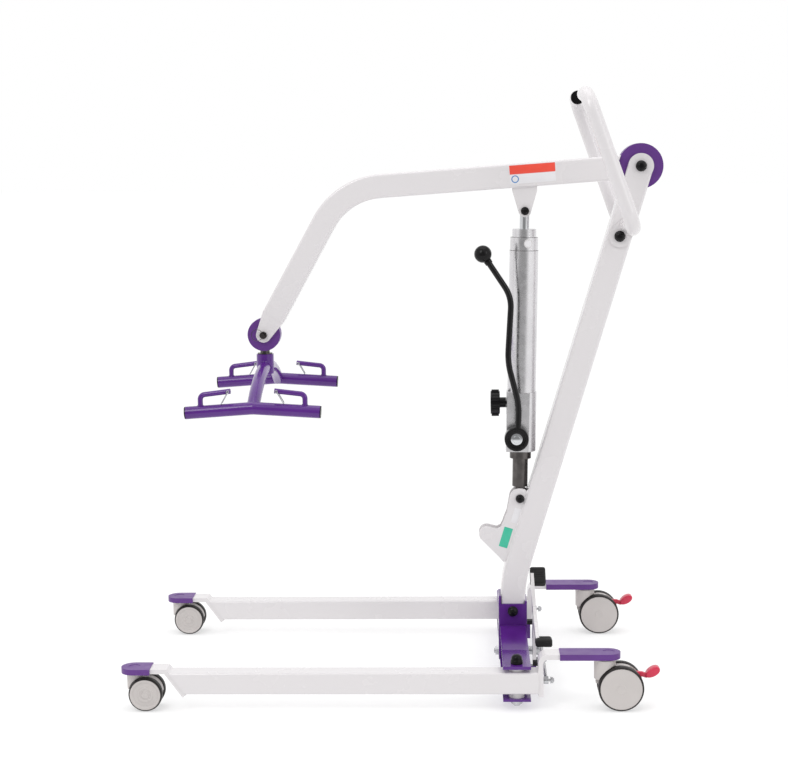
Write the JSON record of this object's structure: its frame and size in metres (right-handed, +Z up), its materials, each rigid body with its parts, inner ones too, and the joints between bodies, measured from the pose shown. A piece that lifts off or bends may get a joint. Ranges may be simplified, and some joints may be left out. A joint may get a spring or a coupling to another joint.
{
  "type": "patient lift hoist",
  "caption": "Mobile patient lift with a spreading wheeled base, leaning mast, hydraulic pump, curved lifting boom and a swivelling sling cradle with gated hooks.",
  "frame": {"origin": "on the floor at the middle of the overall length and width", "axes": "+Z up; X along the length with the cradle and front castors at -X; Y across with the machine's left side at -Y"},
  "size_m": [1.2211, 0.67, 1.3561],
  "materials": {
    "white_coat": "satin powder coat",
    "purple_coat": "gloss powder coat",
    "purple_plastic": "moulded, satin gloss",
    "black_plastic": "moulded, gloss",
    "black_rubber": "matte rubber",
    "zinc": "bright zinc plate",
    "nylon": "natural nylon",
    "dark_steel": "dark polished steel",
    "brushed_aluminium": "fine turned aluminium",
    "chrome": "polished chrome",
    "black_paint": "gloss black",
    "grey_plastic": "moulded, satin",
    "tyre": "smooth rubber tread",
    "red_plastic": "moulded, gloss"
  },
  "bodies": {
    "base": {"base_bracket": "purple_coat", "mast": "white_coat", "pump_bracket": "white_coat", "cross_bolts": "zinc", "bolt_caps": "black_plastic", "handle": "white_coat", "handle_plugs": "black_plastic", "leg_pivot_bolts": "zinc", "leg_pivot_caps": "black_plastic", "leg_washers": "nylon", "pedal_pivot_bolt": "zinc", "pedal_stops": "black_rubber"},
    "leg_left": {"leg_left": "white_coat", "arm_caps_left": "purple_plastic", "castor_stems_left": "zinc"},
    "leg_right": {"leg_right": "white_coat", "arm_caps_right": "purple_plastic", "castor_stems_right": "zinc"},
    "pedals": {"pedal_rocker": "white_coat", "pedal_pads": "black_rubber"},
    "link_left": {"link_rod_left": "zinc"},
    "link_right": {"link_rod_right": "zinc"},
    "boom": {"boom": "white_coat", "boom_rear_hub": "purple_plastic", "boom_lug": "white_coat", "lug_bolt_caps": "black_plastic"},
    "release_pin": {"release_pin": "dark_steel", "release_ring": "dark_steel"},
    "cradle_hub": {"cradle_hub": "purple_plastic", "cradle_swivel": "dark_steel"},
    "cradle": {"cradle_frame": "purple_coat", "sling_hooks": "purple_coat", "bar_end_caps": "black_plastic"},
    "pump": {"pump_foot": "dark_steel", "pump_block": "brushed_aluminium", "pump_cylinder": "brushed_aluminium", "pump_gland": "brushed_aluminium"},
    "piston": {"piston_rod": "chrome"},
    "lever": {"pump_lever": "black_paint", "lever_knob": "black_plastic"},
    "valve_knob": {"release_knob": "black_plastic"},
    "gate_front_left": {"gate_front_left": "zinc"},
    "gate_front_right": {"gate_front_right": "zinc"},
    "gate_rear_left": {"gate_rear_left": "zinc"},
    "gate_rear_right": {"gate_rear_right": "zinc"},
    "castor_front_left": {"housing_front_left": "grey_plastic"},
    "wheels_front_left": {"rims_front_left": "grey_plastic", "tyres_front_left": "tyre"},
    "castor_front_right": {"housing_front_right": "grey_plastic"},
    "wheels_front_right": {"rims_front_right": "grey_plastic", "tyres_front_right": "tyre"},
    "castor_rear_left": {"housing_rear_left": "grey_plastic"},
    "wheels_rear_left": {"rims_rear_left": "grey_plastic", "tyres_rear_left": "tyre"},
    "brake_left": {"brake_pedal_left": "red_plastic"},
    "castor_rear_right": {"housing_rear_right": "grey_plastic"},
    "wheels_rear_right": {"rims_rear_right": "grey_plastic", "tyres_rear_right": "tyre"},
    "brake_right": {"brake_pedal_right": "red_plastic"}
  },
  "joints": [
    {"name": "boom_lift", "type": "hinge", "parent": "base", "child": "boom", "pos_m": [0.5591, 0, 1.1797], "axis": [0, 1, 0], "range_deg": [0, 60]},
    {"name": "pump_tilt", "type": "hinge", "parent": "base", "child": "pump", "pos_m": [0.2822, 0, 0.4111], "axis": [0, 1, 0], "range_deg": [-1, 4]},
    {"name": "piston_slide", "type": "slide", "parent": "pump", "child": "piston", "axis": [0.0205, 0, 0.9998], "range_m": [-0.002, 0.285]},
    {"name": "pump_lever", "type": "hinge", "parent": "pump", "child": "lever", "pos_m": [0.2739, -0.04, 0.558], "axis": [0, -1, 0], "range_deg": [0, 55]},
    {"name": "valve_turn", "type": "hinge", "parent": "pump", "child": "valve_knob", "pos_m": [0.2449, 0, 0.636], "axis": [1, 0, 0], "range_deg": [0, 90]},
    {"name": "cradle_swing", "type": "hinge", "parent": "boom", "child": "cradle_hub", "pos_m": [-0.3106, 0, 0.801], "axis": [0, 1, 0], "range_deg": [-65, 30]},
    {"name": "cradle_swivel", "type": "hinge", "parent": "cradle_hub", "child": "cradle", "pos_m": [-0.3106, 0, 0.74], "axis": [0, 0, 1], "continuous": true},
    {"name": "release_pin_pull", "type": "slide", "parent": "boom", "child": "release_pin", "axis": [0, -1, 0], "range_m": [0, 0.08]},
    {"name": "gate_front_left_hinge", "type": "hinge", "parent": "cradle", "child": "gate_front_left", "pos_m": [-0.364, -0.255, 0.70144], "axis": [0, 1, 0], "range_deg": [0, 34], "stiffness_Nm_per_rad": 0.05},
    {"name": "gate_front_right_hinge", "type": "hinge", "parent": "cradle", "child": "gate_front_right", "pos_m": [-0.364, 0.255, 0.70144], "axis": [0, 1, 0], "range_deg": [0, 34], "stiffness_Nm_per_rad": 0.05},
    {"name": "gate_rear_left_hinge", "type": "hinge", "parent": "cradle", "child": "gate_rear_left", "pos_m": [-0.2572, -0.255, 0.70144], "axis": [0, -1, 0], "range_deg": [0, 34], "stiffness_Nm_per_rad": 0.05},
    {"name": "gate_rear_right_hinge", "type": "hinge", "parent": "cradle", "child": "gate_rear_right", "pos_m": [-0.2572, 0.255, 0.70144], "axis": [0, -1, 0], "range_deg": [0, 34], "stiffness_Nm_per_rad": 0.05},
    {"name": "pedal_rock", "type": "hinge", "parent": "base", "child": "pedals", "pos_m": [0.3209, 0, 0.0395], "axis": [-1, 0, 0], "range_deg": [0, 29]},
    {"name": "leg_left_spread", "type": "hinge", "parent": "base", "child": "leg_left", "pos_m": [0.2644, -0.305, 0.06], "axis": [0, 0, 1], "range_deg": [0, 11.05]},
    {"name": "leg_right_spread", "type": "hinge", "parent": "base", "child": "leg_right", "pos_m": [0.2644, 0.305, 0.06], "axis": [0, 0, -1], "range_deg": [0, 11.05]},
    {"name": "link_left_shift", "type": "slide", "parent": "base", "child": "link_left", "axis": [0, 1, 0], "range_m": [0, 0.0137]},
    {"name": "link_right_shift", "type": "slide", "parent": "base", "child": "link_right", "axis": [0, -1, 0], "range_m": [0, 0.0137]},
    {"name": "castor_front_left_swivel", "type": "hinge", "parent": "leg_left", "child": "castor_front_left", "pos_m": [-0.5796, -0.305, 0.0375], "axis": [0, 0, 1], "continuous": true},
    {"name": "wheels_front_left_roll", "type": "hinge", "parent": "castor_front_left", "child": "wheels_front_left", "pos_m": [-0.5548, -0.305, 0.0375], "axis": [0, 1, 0], "continuous": true},
    {"name": "castor_front_right_swivel", "type": "hinge", "parent": "leg_right", "child": "castor_front_right", "pos_m": [-0.5796, 0.305, 0.0375], "axis": [0, 0, 1], "continuous": true},
    {"name": "wheels_front_right_roll", "type": "hinge", "parent": "castor_front_right", "child": "wheels_front_right", "pos_m": [-0.5548, 0.305, 0.0375], "axis": [0, 1, 0], "continuous": true},
    {"name": "castor_rear_left_swivel", "type": "hinge", "parent": "leg_left", "child": "castor_rear_left", "pos_m": [0.4574, -0.305, 0.05], "axis": [0, 0, 1], "continuous": true},
    {"name": "wheels_rear_left_roll", "type": "hinge", "parent": "castor_rear_left", "child": "wheels_rear_left", "pos_m": [0.4915, -0.305, 0.05], "axis": [0, 1, 0], "continuous": true},
    {"name": "brake_left_press", "type": "hinge", "parent": "castor_rear_left", "child": "brake_left", "pos_m": [0.5255, -0.305, 0.077], "axis": [0, 1, 0], "range_deg": [0, 14]},
    {"name": "castor_rear_right_swivel", "type": "hinge", "parent": "leg_right", "child": "castor_rear_right", "pos_m": [0.4574, 0.305, 0.05], "axis": [0, 0, 1], "continuous": true},
    {"name": "wheels_rear_right_roll", "type": "hinge", "parent": "castor_rear_right", "child": "wheels_rear_right", "pos_m": [0.4915, 0.305, 0.05], "axis": [0, 1, 0], "continuous": true},
    {"name": "brake_right_press", "type": "hinge", "parent": "castor_rear_right", "child": "brake_right", "pos_m": [0.5255, 0.305, 0.077], "axis": [0, 1, 0], "range_deg": [0, 14]}
  ],
  "couplings": [
    {"joint": "pump_tilt", "follows": "boom_lift", "ratio": 0.040359},
    {"joint": "piston_slide", "follows": "boom_lift", "m_per_rad": 0.26663},
    {"joint": "leg_left_spread", "follows": "pedal_rock", "ratio": 0.37931},
    {"joint": "leg_right_spread", "follows": "pedal_rock", "ratio": 0.37931},
    {"joint": "link_left_shift", "follows": "pedal_rock", "m_per_rad": 0.026712},
    {"joint": "link_right_shift", "follows": "pedal_rock", "m_per_rad": 0.026712}
  ]
}
